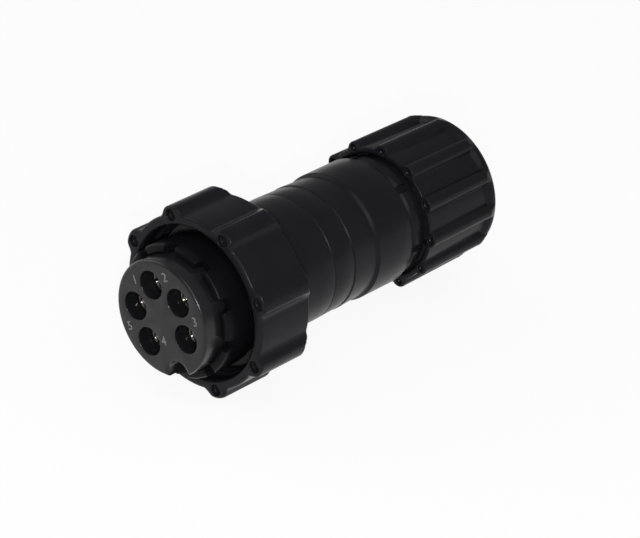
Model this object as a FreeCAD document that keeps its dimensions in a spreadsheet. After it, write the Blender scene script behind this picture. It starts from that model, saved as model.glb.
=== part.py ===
"""Circular power plug with five socket contacts, a coupling nut and a cable gland.

The plug lies along X. The origin is the centre of the contact insert's front
face, +X runs towards the cable and +Z is up. Angles about the axis start at +Z
and turn towards -Y, which is the right-hand turn about +X.
"""
import FreeCAD, Part
import math
import os

import Sketcher

# Driving sizes: millimetres, degrees, and counts of what repeats
SIZES = {
    # contact insert
    "insert_tail_wall": 0.6,
    "insert_tail_length": 10.7,
    "insert_step": 1.3,
    "insert_body_length": 22.3,
    "insert_edge_bevel": 0.3,
    "insert_flange_height": 0.9,
    "insert_flange_length": 1.55,
    "key_slot_radius": 2.7,
    "key_slot_inset": 0.35,
    "key_slot_length": 6.0,
    # poles, which are symmetric about pole 1
    "pole_circle_radius": 6.5,
    "pole_angle": -26.0,
    "pole_step": 64.5,
    "pole_shoulder": 15.0,
    "pole_shoulder_step": 0.15,
    # socket contacts
    "contact_set_back": 3.3,
    "contact_bore_radius": 1.55,
    "contact_bore_length": 10.0,
    "contact_wall": 0.85,
    "contact_float": 0.35,
    "contact_bevel": 0.3,
    "contact_slot_width": 0.4,
    "contact_slot_length": 7.5,
    "contact_slot_count": 4,
    "contact_collar_length": 2.0,
    "contact_tail_relief": 0.1,
    "contact_overhang": 7.5,
    "wire_hole_length": 8.0,
    # terminal screws
    "screw_radius": 1.25,
    "screw_length": 2.2,
    "screw_point_radius": 0.8,
    "screw_point_length": 0.4,
    "screw_slot_width": 0.5,
    "screw_slot_depth": 0.6,
    "screw_from_end": 2.4,
    "screw_clearance": 0.05,
    # slotted ring that holds the insert in the shell
    "ring_set_back": 3.85,
    "ring_wall": 0.62,
    "ring_lip_length": 2.6,
    "ring_length": 7.65,
    "ring_edge_bevel": 0.35,
    "ring_slot_count": 10,
    "ring_slot_width": 2.1,
    "ring_slot_depth": 2.0,
    "ring_slot_angle": 26.0,
    # front shell
    "spigot_wall": 0.9,
    "shell_wall": 1.2,
    "shell_flange_height": 1.6,
    "shell_flange_length": 2.75,
    "shell_plain_length": 11.86,
    "shell_line_step": 0.08,
    "shell_taper": 0.18,
    "shell_taper_length": 5.58,
    "shell_tail_wall": 1.1,
    "shell_tail_length": 4.9,
    # seals of the front half
    "face_seal_length": 1.5,
    "o_ring_section": 1.1,
    "o_ring_shoulder": 0.85,
    # coupling nut
    "nut_set_back": 8.45,
    "nut_length": 12.7,
    "nut_ring_wall": 2.5,
    "nut_mouth_bevel": 0.45,
    "nut_wall": 2.5,
    "nut_rib_count": 8,
    "nut_rib_angle": 22.5,
    "nut_rib_radius": 3.3,
    "nut_rib_height": 1.75,
    "nut_front_bevel": 0.6,
    "nut_back_bevel": 1.2,
    "nut_dimple_radius": 1.15,
    "nut_dimple_depth": 0.9,
    "nut_dimple_inset": 1.85,
    # snap ring behind the coupling nut
    "snap_thickness": 0.8,
    "snap_height": 0.9,
    "snap_groove_depth": 0.6,
    "snap_opening": 50.0,
    # rear housing
    "housing_length": 15.86,
    "housing_wall": 1.3,
    "housing_taper": 0.28,
    "housing_waist_length": 6.0,
    "housing_bevel_length": 0.9,
    "housing_bevel_height": 0.53,
    "housing_edge_bevel": 0.35,
    "cavity_end_wall": 0.95,
    # neck that carries the gland
    "neck_length": 16.05,
    "neck_wall": 2.5,
    "neck_root_length": 1.05,
    "neck_thread_height": 0.9,
    "neck_first_turn": 2.5,
    "neck_first_height": 0.65,
    "neck_turn_gap": 0.6,
    "neck_slot_count": 6,
    "neck_slot_width": 1.4,
    "neck_slot_angle": 38.0,
    "neck_stop_lip": 1.2,
    "neck_stop_length": 2.55,
    # cable seal and its washer
    "seal_length": 8.5,
    "seal_bore_radius": 6.0,
    "seal_wall": 2.9,
    "washer_thickness": 0.8,
    "washer_ease": 0.3,
    # clamp cage
    "tighten_travel": 2.4,
    "cage_length": 7.3,
    "cage_straight_length": 4.3,
    "cage_ease": 0.6,
    "cage_tip_wall": 1.0,
    "cage_slot_count": 8,
    "cage_slot_width": 1.1,
    "cage_base_length": 2.9,
    # gland nut
    "gland_gap": 4.1,
    "gland_length": 19.4,
    "gland_wall": 1.22,
    "gland_taper": 0.5,
    "gland_rib_count": 12,
    "gland_rib_angle": 0.0,
    "gland_rib_radius": 1.75,
    "gland_rib_height": 1.2,
    "gland_rib_draft": 0.6,
    "gland_rim_length": 2.6,
    "gland_rim_slope": 1.1,
    "gland_rim_height": 0.35,
    "gland_front_bevel": 0.3,
    "gland_back_bevel": 0.5,
    "gland_dimple_radius": 0.75,
    "gland_dimple_depth": 0.7,
    "gland_dimple_inset": 1.3,
    "gland_cone_gap": 0.33,
    # clearances, and how far a cut runs past the surface it opens
    "cut_over": 1.0,
    "end_gap": 0.3,
    "seat_gap": 0.1,
    "running_gap": 0.08,
    "bead_gap": 0.05,
}


class Size:
    """A value together with the sheet expression that drives it."""

    def __init__(self, value, text):
        self.value = value
        self.text = text

    def __add__(self, other):
        other = as_size(other)
        return Size(self.value + other.value, f"({self.text} + {other.text})")

    def __sub__(self, other):
        other = as_size(other)
        return Size(self.value - other.value, f"({self.text} - {other.text})")

    def __mul__(self, other):
        other = as_size(other)
        return Size(self.value * other.value, f"({self.text} * {other.text})")

    def __truediv__(self, other):
        other = as_size(other)
        return Size(self.value / other.value, f"({self.text} / {other.text})")

    def __neg__(self):
        return Size(-self.value, f"(-{self.text})")


def as_size(number):
    """A plain number, or a Size as it is."""
    if isinstance(number, Size):
        return number
    return Size(float(number), f"{float(number):.6f}")


def sine(angle):
    """Sine of an angle in degrees."""
    return Size(math.sin(math.radians(angle.value)), f"sin({angle.text})")


def cosine(angle):
    """Cosine of an angle in degrees."""
    return Size(math.cos(math.radians(angle.value)), f"cos({angle.text})")


class Sheet:
    """The spreadsheet, with each size as an attribute."""

    def __init__(self, document, sizes):
        self.cells = document.addObject("Spreadsheet::Sheet", "Sizes")
        for row, (name, value) in enumerate(sizes.items(), start=1):
            self.cells.set(f"A{row}", name)
            self.cells.set(f"B{row}", str(value))
            self.cells.setAlias(f"B{row}", name)
            setattr(self, name, Size(float(value), f"Sizes.{name}"))
        document.recompute()


document = FreeCAD.newDocument("plug")
size = Sheet(document, SIZES)
pieces = []
ZERO = as_size(0)
FULL_TURN = as_size(360)


class Stations:
    """Where things start and end along X, each worked out from the sizes."""

    ring_front = size.ring_set_back
    ring_back = ring_front + size.ring_length
    insert_flange_front = ring_front + size.ring_lip_length
    insert_flange_back = insert_flange_front + size.insert_flange_length
    insert_body_back = insert_flange_back + size.insert_body_length
    insert_back = insert_body_back + size.insert_tail_length
    contact_back = insert_back + size.contact_overhang
    screw = contact_back - size.screw_from_end
    nut_front = size.nut_set_back
    nut_back = nut_front + size.nut_length
    nut_wall_front = nut_back - size.nut_wall
    shell_flange_back = nut_wall_front - size.end_gap
    shell_flange_front = shell_flange_back - size.shell_flange_length
    face_seal_front = shell_flange_front - size.face_seal_length
    snap_front = nut_back + size.end_gap
    shell_line = nut_back + size.shell_plain_length
    shell_back = shell_line + size.shell_taper_length
    shell_shoulder = insert_body_back + size.seat_gap * 2
    tail_back = shell_back + size.shell_tail_length
    housing_shoulder = tail_back + size.o_ring_section + size.bead_gap * 2
    waist = shell_back + size.housing_waist_length
    housing_back = shell_back + size.housing_length
    cavity_back = housing_back - size.cavity_end_wall
    neck_turn = housing_back + size.neck_root_length
    neck_turn_back = neck_turn + size.neck_first_turn
    neck_thread = neck_turn_back + size.neck_turn_gap
    neck_back = housing_back + size.neck_length
    seal_front = housing_back + size.neck_stop_length
    seal_back = seal_front + size.seal_length
    washer_back = seal_back + size.washer_thickness
    cage_front = washer_back + size.tighten_travel + size.seat_gap * 2
    cage_straight_back = cage_front + size.cage_straight_length
    cage_back = cage_front + size.cage_length
    gland_front = housing_back + size.gland_gap
    gland_back = gland_front + size.gland_length
    gland_rim = gland_back - size.gland_rim_length


at = Stations


class Radii:
    """Radius of each turned surface, built outwards from the pins and the cable."""

    contact = size.contact_bore_radius + size.contact_wall
    pole_hole = contact + size.contact_float
    pole_tail_hole = pole_hole + size.pole_shoulder_step
    contact_collar = pole_tail_hole - size.bead_gap
    contact_tail = contact_collar - size.contact_tail_relief
    wire_hole = contact_tail - size.contact_wall
    insert_tail = size.pole_circle_radius + pole_tail_hole + size.insert_tail_wall
    insert = insert_tail + size.insert_step
    insert_flange = insert + size.insert_flange_height
    insert_bore = insert + size.seat_gap
    spigot = insert_bore + size.spigot_wall
    ring_bore = spigot + size.running_gap
    ring = ring_bore + size.ring_wall
    shell = insert_bore + size.shell_wall
    shell_flange = shell + size.shell_flange_height
    face_seal = shell_flange - size.seat_gap
    shell_line = shell - size.shell_line_step
    shell_end = shell - size.shell_taper
    snap_groove = shell - size.snap_groove_depth
    snap = shell + size.snap_height
    tail_bore = insert_tail + size.seat_gap
    shell_tail = tail_bore + size.shell_tail_wall
    nut_bore = shell + size.running_gap
    nut_thread = shell_flange + size.end_gap
    nut_mouth = nut_thread + size.nut_mouth_bevel
    nut = nut_thread + size.nut_ring_wall
    nut_rib = nut + size.nut_rib_height
    nut_dimples = nut_rib - size.nut_dimple_inset
    housing_bore = shell_tail + size.bead_gap
    housing_front = housing_bore + size.housing_wall
    housing_waist = housing_front - size.housing_taper
    housing = housing_waist + size.housing_bevel_height
    cavity = housing_bore - size.o_ring_shoulder
    seal = size.seal_bore_radius + size.seal_wall
    neck_bore = seal + size.seat_gap
    neck_stop = neck_bore - size.neck_stop_lip
    neck_root = neck_bore + size.neck_wall
    neck_turn = neck_root + size.neck_first_height
    neck_thread = neck_root + size.neck_thread_height
    washer_bore = size.seal_bore_radius + size.washer_ease
    cage_bore = size.seal_bore_radius + size.cage_ease
    cage = neck_bore - size.running_gap
    cage_tip = cage_bore + size.cage_tip_wall
    gland_thread = neck_thread + size.running_gap
    gland_cone = cage + size.gland_cone_gap
    gland_exit = cage_tip + size.gland_cone_gap / 2
    gland = gland_thread + size.gland_wall
    gland_back = gland - size.gland_taper
    gland_rim = gland + size.gland_rim_height
    gland_rib = gland + size.gland_rib_height
    gland_dimples = gland_rib - size.gland_dimple_inset


radii = Radii


def role(body, name):
    """The body's own origin plane or axis of that role."""
    return next(item for item in body.Origin.OriginFeatures if item.Role == name)


def new_body(label):
    """An empty body whose label is the name of its piece."""
    body = document.addObject("PartDesign::Body", label)
    body.Label = label
    pieces.append(body)
    return body


def new_sketch(body, name, plane, offset=ZERO, turn=ZERO):
    """A sketch on an origin plane, moved along and turned about its normal."""
    sketch = body.newObject("Sketcher::SketchObject", name)
    sketch.AttachmentSupport = [(role(body, plane), "")]
    sketch.MapMode = "FlatFace"
    rotation = FreeCAD.Rotation(FreeCAD.Vector(0, 0, 1), turn.value)
    sketch.AttachmentOffset = FreeCAD.Placement(FreeCAD.Vector(0, 0, offset.value), rotation)
    sketch.setExpression("AttachmentOffset.Base.z", offset.text)
    sketch.setExpression("AttachmentOffset.Rotation.Angle", turn.text)
    return sketch


def drive(sketch, kind, place, value):
    """A dimension of the sketch that follows its expression."""
    index = sketch.addConstraint(Sketcher.Constraint(kind, *place, value.value))
    sketch.setExpression(f"Constraints[{index}]", value.text)


def outline(sketch, points):
    """A closed outline of straight lines with every corner placed by the sheet."""
    corners = [(as_size(u), as_size(v)) for u, v in points]
    vectors = [FreeCAD.Vector(u.value, v.value, 0) for u, v in corners]
    first = sketch.GeometryCount
    for start, end in zip(vectors, vectors[1:] + vectors[:1]):
        sketch.addGeometry(Part.LineSegment(start, end))
    for index, (u, v) in enumerate(corners):
        line = first + index
        following = first + (index + 1) % len(corners)
        sketch.addConstraint(Sketcher.Constraint("Coincident", line, 2, following, 1))
        drive(sketch, "DistanceX", (line, 1), u)
        drive(sketch, "DistanceY", (line, 1), v)


def disc(sketch, u, v, radius):
    """A circle with its centre and radius placed by the sheet."""
    centre = FreeCAD.Vector(u.value, v.value, 0)
    index = sketch.addGeometry(Part.Circle(centre, FreeCAD.Vector(0, 0, 1), radius.value))
    drive(sketch, "DistanceX", (index, 3), u)
    drive(sketch, "DistanceY", (index, 3), v)
    drive(sketch, "Radius", (index,), radius)


def turned(body, points, name="Turned"):
    """Material turned about X from corners given as station and radius."""
    sketch = new_sketch(body, f"{name}Section", "XZ_Plane")
    outline(sketch, points)
    feature = body.newObject("PartDesign::Revolution", name)
    feature.Profile = sketch
    feature.ReferenceAxis = (sketch, ["H_Axis"])
    feature.Angle = 360
    return feature


def bored(body, outlines, name="Bored"):
    """A cut turned about X from corners given as station and radius."""
    sketch = new_sketch(body, f"{name}Section", "XZ_Plane")
    for points in outlines:
        outline(sketch, points)
    feature = body.newObject("PartDesign::Groove", name)
    feature.Profile = sketch
    feature.ReferenceAxis = (sketch, ["H_Axis"])
    feature.Angle = 360
    return feature


def raised(body, sketch, length, name):
    """A pad of the sketch towards +X."""
    feature = body.newObject("PartDesign::Pad", name)
    feature.Profile = sketch
    feature.setExpression("Length", length.text)
    return feature


def sunk(body, sketch, length, name):
    """A pocket of the sketch towards +X."""
    feature = body.newObject("PartDesign::Pocket", name)
    feature.Profile = sketch
    feature.Reversed = True
    feature.setExpression("Length", length.text)
    return feature


def around(body, feature, count, name):
    """The feature repeated evenly about X."""
    pattern = body.newObject("PartDesign::PolarPattern", name)
    pattern.Originals = [feature]
    pattern.Axis = (role(body, "X_Axis"), [""])
    pattern.Angle = 360
    pattern.setExpression("Occurrences", count.text)
    body.Tip = pattern
    return pattern


def place(body, x, y, z, turn):
    """Put the body at a point, turned about X, by expressions."""
    rotation = FreeCAD.Rotation(FreeCAD.Vector(1, 0, 0), turn.value)
    body.Placement = FreeCAD.Placement(FreeCAD.Vector(x.value, y.value, z.value), rotation)
    body.setExpression("Placement.Base.x", x.text)
    body.setExpression("Placement.Base.y", y.text)
    body.setExpression("Placement.Base.z", z.text)
    body.setExpression("Placement.Rotation.Angle", turn.text)


def ribs(body, angle, circle, radius, length, start, count, draft=None):
    """Round-topped grip ribs along the outside of a nut."""
    sketch = new_sketch(body, "RibSection", "YZ_Plane", start, angle)
    disc(sketch, ZERO, circle - radius, radius)
    rib = raised(body, sketch, length, "Rib")
    if draft is not None:
        rib.setExpression("TaperAngle", (-draft).text)
    around(body, rib, count, "Ribs")


def dimples(body, angle, circle, radius, depth, start, count):
    """Small blind recesses in the front face, one on each rib."""
    sketch = new_sketch(body, "DimpleSection", "YZ_Plane", start, angle)
    disc(sketch, ZERO, circle, radius)
    dimple = sunk(body, sketch, depth, "Dimple")
    around(body, dimple, count, "Dimples")


def slots(body, width, inner, outer, start, length, angle, count):
    """Radial slots cut towards +X and repeated about the axis."""
    sketch = new_sketch(body, "SlotSection", "YZ_Plane", start, angle)
    half = width / 2
    outline(sketch, [(-half, inner), (half, inner), (half, outer), (-half, outer)])
    slot = sunk(body, sketch, length, "Slot")
    around(body, slot, count, "Slots")


def coupling_nut():
    """Ribbed nut that turns on the front shell and draws the plug into its socket."""
    body = new_body("coupling_nut")
    bevel = size.nut_front_bevel
    turned(body, [
        (at.nut_front, 0),
        (at.nut_front, radii.nut - bevel),
        (at.nut_front + bevel, radii.nut),
        (at.nut_back, radii.nut),
        (at.nut_back, 0),
    ])
    ribs(body, size.nut_rib_angle, radii.nut_rib, size.nut_rib_radius,
         size.nut_length, at.nut_front, size.nut_rib_count)
    dimples(body, size.nut_rib_angle, radii.nut_dimples, size.nut_dimple_radius,
            size.nut_dimple_depth, at.nut_front, size.nut_rib_count)
    thread_start = at.nut_front + size.nut_mouth_bevel
    beyond = radii.nut_rib + size.cut_over
    bored(body, [
        [
            (at.nut_front, 0),
            (at.nut_front, radii.nut_mouth),
            (thread_start, radii.nut_thread),
            (at.nut_wall_front, radii.nut_thread),
            (at.nut_wall_front, radii.nut_bore),
            (at.nut_back, radii.nut_bore),
            (at.nut_back, 0),
        ],
        [
            (at.nut_back - size.nut_back_bevel, radii.nut_rib),
            (at.nut_back, radii.nut_rib - size.nut_back_bevel),
            (at.nut_back, beyond),
            (at.nut_back - size.nut_back_bevel, beyond),
        ],
        [
            (at.nut_front, radii.nut_rib - bevel),
            (at.nut_front + bevel, radii.nut_rib),
            (at.nut_front + bevel, beyond),
            (at.nut_front, beyond),
        ],
    ])


def nut_snap_ring():
    """Open spring ring in the shell's groove, behind the coupling nut."""
    body = new_body("nut_snap_ring")
    inner = radii.snap_groove + size.bead_gap
    back = at.snap_front + size.snap_thickness
    ring = turned(body, [
        (at.snap_front, inner),
        (at.snap_front, radii.snap),
        (back, radii.snap),
        (back, inner),
    ])
    ring.setExpression("Angle", (FULL_TURN - size.snap_opening).text)


def front_shell():
    """Tubular shell that carries the insert, the coupling nut and the rear housing."""
    body = new_body("front_shell")
    groove_back = at.snap_front + size.snap_thickness + size.bead_gap
    turned(body, [
        (at.insert_flange_back, radii.insert_bore),
        (at.insert_flange_back, radii.spigot),
        (at.shell_flange_front, radii.spigot),
        (at.shell_flange_front, radii.shell_flange),
        (at.shell_flange_back, radii.shell_flange),
        (at.shell_flange_back, radii.shell),
        (at.snap_front - size.bead_gap, radii.shell),
        (at.snap_front - size.bead_gap, radii.snap_groove),
        (groove_back, radii.snap_groove),
        (groove_back, radii.shell),
        (at.shell_line, radii.shell),
        (at.shell_line + size.shell_line_step, radii.shell_line),
        (at.shell_back, radii.shell_end),
        (at.shell_back, radii.shell_tail),
        (at.tail_back, radii.shell_tail),
        (at.tail_back, radii.tail_bore),
        (at.shell_shoulder, radii.tail_bore),
        (at.shell_shoulder, radii.insert_bore),
    ])


def insert_lock_ring():
    """Slotted ring on the shell's spigot that holds the insert by its flange."""
    body = new_body("insert_lock_ring")
    bevel = size.ring_edge_bevel
    turned(body, [
        (at.ring_front, radii.insert_bore),
        (at.ring_front, radii.ring - bevel),
        (at.ring_front + bevel, radii.ring),
        (at.ring_back, radii.ring),
        (at.ring_back, radii.ring_bore),
        (at.insert_flange_front, radii.ring_bore),
        (at.insert_flange_front, radii.insert_bore),
    ])
    slots(body, size.ring_slot_width, radii.insert_bore - size.cut_over,
          radii.ring + size.cut_over, at.ring_front, size.ring_slot_depth,
          size.ring_slot_angle, size.ring_slot_count)


def face_seal():
    """Flat rubber gasket on the shell's flange, pressed by the mating socket."""
    body = new_body("face_seal")
    inner = radii.spigot + size.bead_gap
    turned(body, [
        (at.face_seal_front, inner),
        (at.face_seal_front, radii.face_seal),
        (at.shell_flange_front, radii.face_seal),
        (at.shell_flange_front, inner),
    ])


def pole_angles():
    """Angle of each pole: 1 in the middle, 2 and 3 to one side, 5 and 4 to the other."""
    steps = (0, 1, 2, -2, -1)
    return [size.pole_angle + size.pole_step * step for step in steps]


def contact_insert():
    """Moulded insulator with five stepped holes and a keyway opposite pole 1."""
    body = new_body("contact_insert")
    bevel = size.insert_edge_bevel
    turned(body, [
        (0, 0),
        (0, radii.insert - bevel),
        (bevel, radii.insert),
        (at.insert_flange_front, radii.insert),
        (at.insert_flange_front, radii.insert_flange),
        (at.insert_flange_back, radii.insert_flange),
        (at.insert_flange_back, radii.insert),
        (at.insert_body_back, radii.insert),
        (at.insert_body_back, radii.insert_tail),
        (at.insert_back, radii.insert_tail),
        (at.insert_back, 0),
    ])
    key = new_sketch(body, "KeySection", "YZ_Plane", ZERO, size.pole_angle + 180)
    disc(key, ZERO, radii.insert - size.key_slot_inset, size.key_slot_radius)
    sunk(body, key, size.key_slot_length, "KeySlot")
    front = new_sketch(body, "PoleHoles", "YZ_Plane")
    tail = new_sketch(body, "PoleTailHoles", "YZ_Plane", size.pole_shoulder)
    for angle in pole_angles():
        across = -(size.pole_circle_radius * sine(angle))
        up = size.pole_circle_radius * cosine(angle)
        disc(front, across, up, radii.pole_hole)
        disc(tail, across, up, radii.pole_tail_hole)
    sunk(body, front, at.insert_back, "PoleHoleCut")
    sunk(body, tail, at.insert_back - size.pole_shoulder, "PoleTailCut")


def socket_contact(number, angle):
    """Turned contact: a slotted socket in front, a shoulder, and a drilled wire end."""
    body = new_body(f"socket_contact_{number}")
    bevel = size.contact_bevel
    collar_back = size.pole_shoulder + size.contact_collar_length
    bore_back = size.contact_set_back + size.contact_bore_length
    wire_front = at.contact_back - size.wire_hole_length
    turned(body, [
        (size.contact_set_back, size.contact_bore_radius),
        (size.contact_set_back, radii.contact - bevel),
        (size.contact_set_back + bevel, radii.contact),
        (size.pole_shoulder, radii.contact),
        (size.pole_shoulder, radii.contact_collar),
        (collar_back, radii.contact_collar),
        (collar_back, radii.contact_tail),
        (at.contact_back, radii.contact_tail),
        (at.contact_back, radii.wire_hole),
        (wire_front, radii.wire_hole),
        (wire_front, 0),
        (bore_back, 0),
        (bore_back, size.contact_bore_radius),
    ])
    slit = new_sketch(body, "SlitSection", "YZ_Plane", size.contact_set_back)
    half = size.contact_slot_width / 2
    reach = radii.contact + size.cut_over
    outline(slit, [(-half, -reach), (half, -reach), (half, reach), (-half, reach)])
    cut = sunk(body, slit, size.contact_slot_length, "Slit")
    around(body, cut, size.contact_slot_count, "Slits")
    screw = new_sketch(body, "ScrewHoleSection", "XY_Plane")
    disc(screw, at.screw, ZERO, size.screw_radius + size.screw_clearance)
    hole = body.newObject("PartDesign::Pocket", "ScrewHole")
    hole.Profile = screw
    hole.Reversed = True
    hole.setExpression("Length", (radii.contact_tail + size.cut_over).text)
    across = -(size.pole_circle_radius * sine(angle))
    up = size.pole_circle_radius * cosine(angle)
    place(body, ZERO, across, up, angle)


def terminal_screw(number, angle):
    """Cup-point screw that clamps a wire in its contact, with a driver slot."""
    body = new_body(f"terminal_screw_{number}")
    sketch = new_sketch(body, "ScrewSection", "XZ_Plane")
    outline(sketch, [
        (0, 0),
        (size.screw_point_radius, 0),
        (size.screw_radius, size.screw_point_length),
        (size.screw_radius, size.screw_length),
        (0, size.screw_length),
    ])
    shank = body.newObject("PartDesign::Revolution", "Shank")
    shank.Profile = sketch
    shank.ReferenceAxis = (sketch, ["V_Axis"])
    shank.Angle = 360
    slot = new_sketch(body, "DriverSection", "XY_Plane", size.screw_length)
    half = size.screw_slot_width / 2
    reach = size.screw_radius + size.cut_over
    outline(slot, [(-half, -reach), (half, -reach), (half, reach), (-half, reach)])
    cut = body.newObject("PartDesign::Pocket", "DriverSlot")
    cut.Profile = slot
    cut.setExpression("Length", size.screw_slot_depth.text)
    radius = size.pole_circle_radius + radii.contact_tail - size.screw_length
    place(body, at.screw, -(radius * sine(angle)), radius * cosine(angle), angle)


def shell_o_ring():
    """Rubber ring squeezed between the shell's tail and the housing's shoulder."""
    body = new_body("shell_o_ring")
    sketch = new_sketch(body, "BeadSection", "XZ_Plane")
    bead = size.o_ring_section / 2
    disc(sketch, at.tail_back + size.bead_gap + bead, radii.shell_tail - bead, bead)
    ring = body.newObject("PartDesign::Revolution", "Bead")
    ring.Profile = sketch
    ring.ReferenceAxis = (sketch, ["H_Axis"])
    ring.Angle = 360


def rear_housing():
    """Barrel that screws onto the shell, with the slotted gland thread on its neck."""
    body = new_body("rear_housing")
    edge = size.housing_edge_bevel
    turned(body, [
        (at.shell_back, radii.housing_bore),
        (at.shell_back, radii.housing_front - edge / 2),
        (at.shell_back + edge / 2, radii.housing_front),
        (at.waist, radii.housing_waist),
        (at.waist + size.housing_bevel_length, radii.housing),
        (at.housing_back - edge, radii.housing),
        (at.housing_back, radii.housing - edge),
        (at.housing_back, radii.neck_root),
        (at.neck_turn, radii.neck_root),
        (at.neck_turn + edge, radii.neck_turn),
        (at.neck_turn_back - edge, radii.neck_turn),
        (at.neck_turn_back, radii.neck_root),
        (at.neck_thread, radii.neck_root),
        (at.neck_thread + edge, radii.neck_thread),
        (at.neck_back - edge, radii.neck_thread),
        (at.neck_back, radii.neck_root),
        (at.neck_back, radii.neck_bore),
        (at.seal_front, radii.neck_bore),
        (at.seal_front, radii.neck_stop),
        (at.cavity_back, radii.neck_stop),
        (at.cavity_back, radii.cavity),
        (at.housing_shoulder, radii.cavity),
        (at.housing_shoulder, radii.housing_bore),
    ])
    slots(body, size.neck_slot_width, radii.neck_root, radii.neck_thread + size.cut_over,
          at.neck_turn, size.neck_length - size.neck_root_length, size.neck_slot_angle,
          size.neck_slot_count)


def cable_seal():
    """Rubber sleeve that grips the cable when the gland is tightened."""
    body = new_body("cable_seal")
    turned(body, [
        (at.seal_front, size.seal_bore_radius),
        (at.seal_front, radii.seal),
        (at.seal_back, radii.seal),
        (at.seal_back, size.seal_bore_radius),
    ])


def seal_washer():
    """Flat ring that keeps the clamp cage from twisting the rubber."""
    body = new_body("seal_washer")
    turned(body, [
        (at.seal_back, radii.washer_bore),
        (at.seal_back, radii.seal),
        (at.washer_back, radii.seal),
        (at.washer_back, radii.washer_bore),
    ])


def clamp_cage():
    """Ring of spring fingers that the gland nut's cone closes onto the cable."""
    body = new_body("clamp_cage")
    turned(body, [
        (at.cage_front, radii.cage_bore),
        (at.cage_front, radii.cage),
        (at.cage_straight_back, radii.cage),
        (at.cage_back, radii.cage_tip),
        (at.cage_back, radii.cage_bore),
    ])
    slots(body, size.cage_slot_width, radii.cage_bore - size.cut_over,
          radii.cage + size.cut_over, at.cage_front + size.cage_base_length,
          size.cage_length, ZERO, size.cage_slot_count)


def gland_nut():
    """Ribbed nut on the neck whose inner cone presses on the clamp cage."""
    body = new_body("gland_nut")
    front = size.gland_front_bevel
    back = size.gland_back_bevel
    turned(body, [
        (at.gland_front, 0),
        (at.gland_front, radii.gland - front),
        (at.gland_front + front, radii.gland),
        (at.gland_rim, radii.gland_back),
        (at.gland_rim + size.gland_rim_slope, radii.gland_rim),
        (at.gland_back - back, radii.gland_rim),
        (at.gland_back, radii.gland_rim - back),
        (at.gland_back, 0),
    ])
    ribs(body, size.gland_rib_angle, radii.gland_rib, size.gland_rib_radius,
         size.gland_length, at.gland_front, size.gland_rib_count, size.gland_rib_draft)
    dimples(body, size.gland_rib_angle, radii.gland_dimples, size.gland_dimple_radius,
            size.gland_dimple_depth, at.gland_front, size.gland_rib_count)
    cone_back = at.cage_back + size.end_gap
    beyond = radii.gland_rib + size.cut_over
    bored(body, [
        [
            (at.gland_front, 0),
            (at.gland_front, radii.gland_thread + front),
            (at.gland_front + front, radii.gland_thread),
            (at.cage_straight_back, radii.gland_thread),
            (at.cage_straight_back, radii.gland_cone),
            (cone_back, radii.gland_exit),
            (at.gland_back, radii.gland_exit),
            (at.gland_back, 0),
        ],
        [
            (at.gland_rim, radii.gland_rib),
            (at.gland_back - back, radii.gland_rim),
            (at.gland_back, radii.gland_rim - back),
            (at.gland_back, beyond),
            (at.gland_rim, beyond),
        ],
        [
            (at.gland_front, radii.gland_rib - front),
            (at.gland_front + front, radii.gland_rib),
            (at.gland_front + front, beyond),
            (at.gland_front, beyond),
        ],
    ])


def build():
    """Make every piece."""
    coupling_nut()
    nut_snap_ring()
    front_shell()
    insert_lock_ring()
    face_seal()
    contact_insert()
    for number, angle in enumerate(pole_angles(), start=1):
        socket_contact(number, angle)
        terminal_screw(number, angle)
    shell_o_ring()
    rear_housing()
    cable_seal()
    seal_washer()
    clamp_cage()
    gland_nut()
    document.recompute()


def check():
    """Stop if any object failed or any piece is not one valid solid."""
    for item in document.Objects:
        if "Invalid" in item.State or "Error" in item.State:
            raise RuntimeError(f"{item.Label} did not build: {item.State}")
    for piece in pieces:
        shape = piece.Shape
        if shape.isNull() or not shape.isValid():
            raise RuntimeError(f"{piece.Label} has no valid shape")
        if len(shape.Solids) != 1:
            raise RuntimeError(f"{piece.Label} is not one solid")


def export():
    """Write one STEP file for each piece."""
    os.makedirs("parts", exist_ok=True)
    for piece in pieces:
        piece.Shape.exportStep(f"parts/{piece.Label}.step")


build()
check()
export()
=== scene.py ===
"""Circular power plug with five poles, dressed for rendering over its solids."""

import math
from functools import wraps

import bmesh
import bpy
from bpy.props import FloatProperty, FloatVectorProperty, IntProperty, PointerProperty
from mathutils import Matrix, Vector


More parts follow.
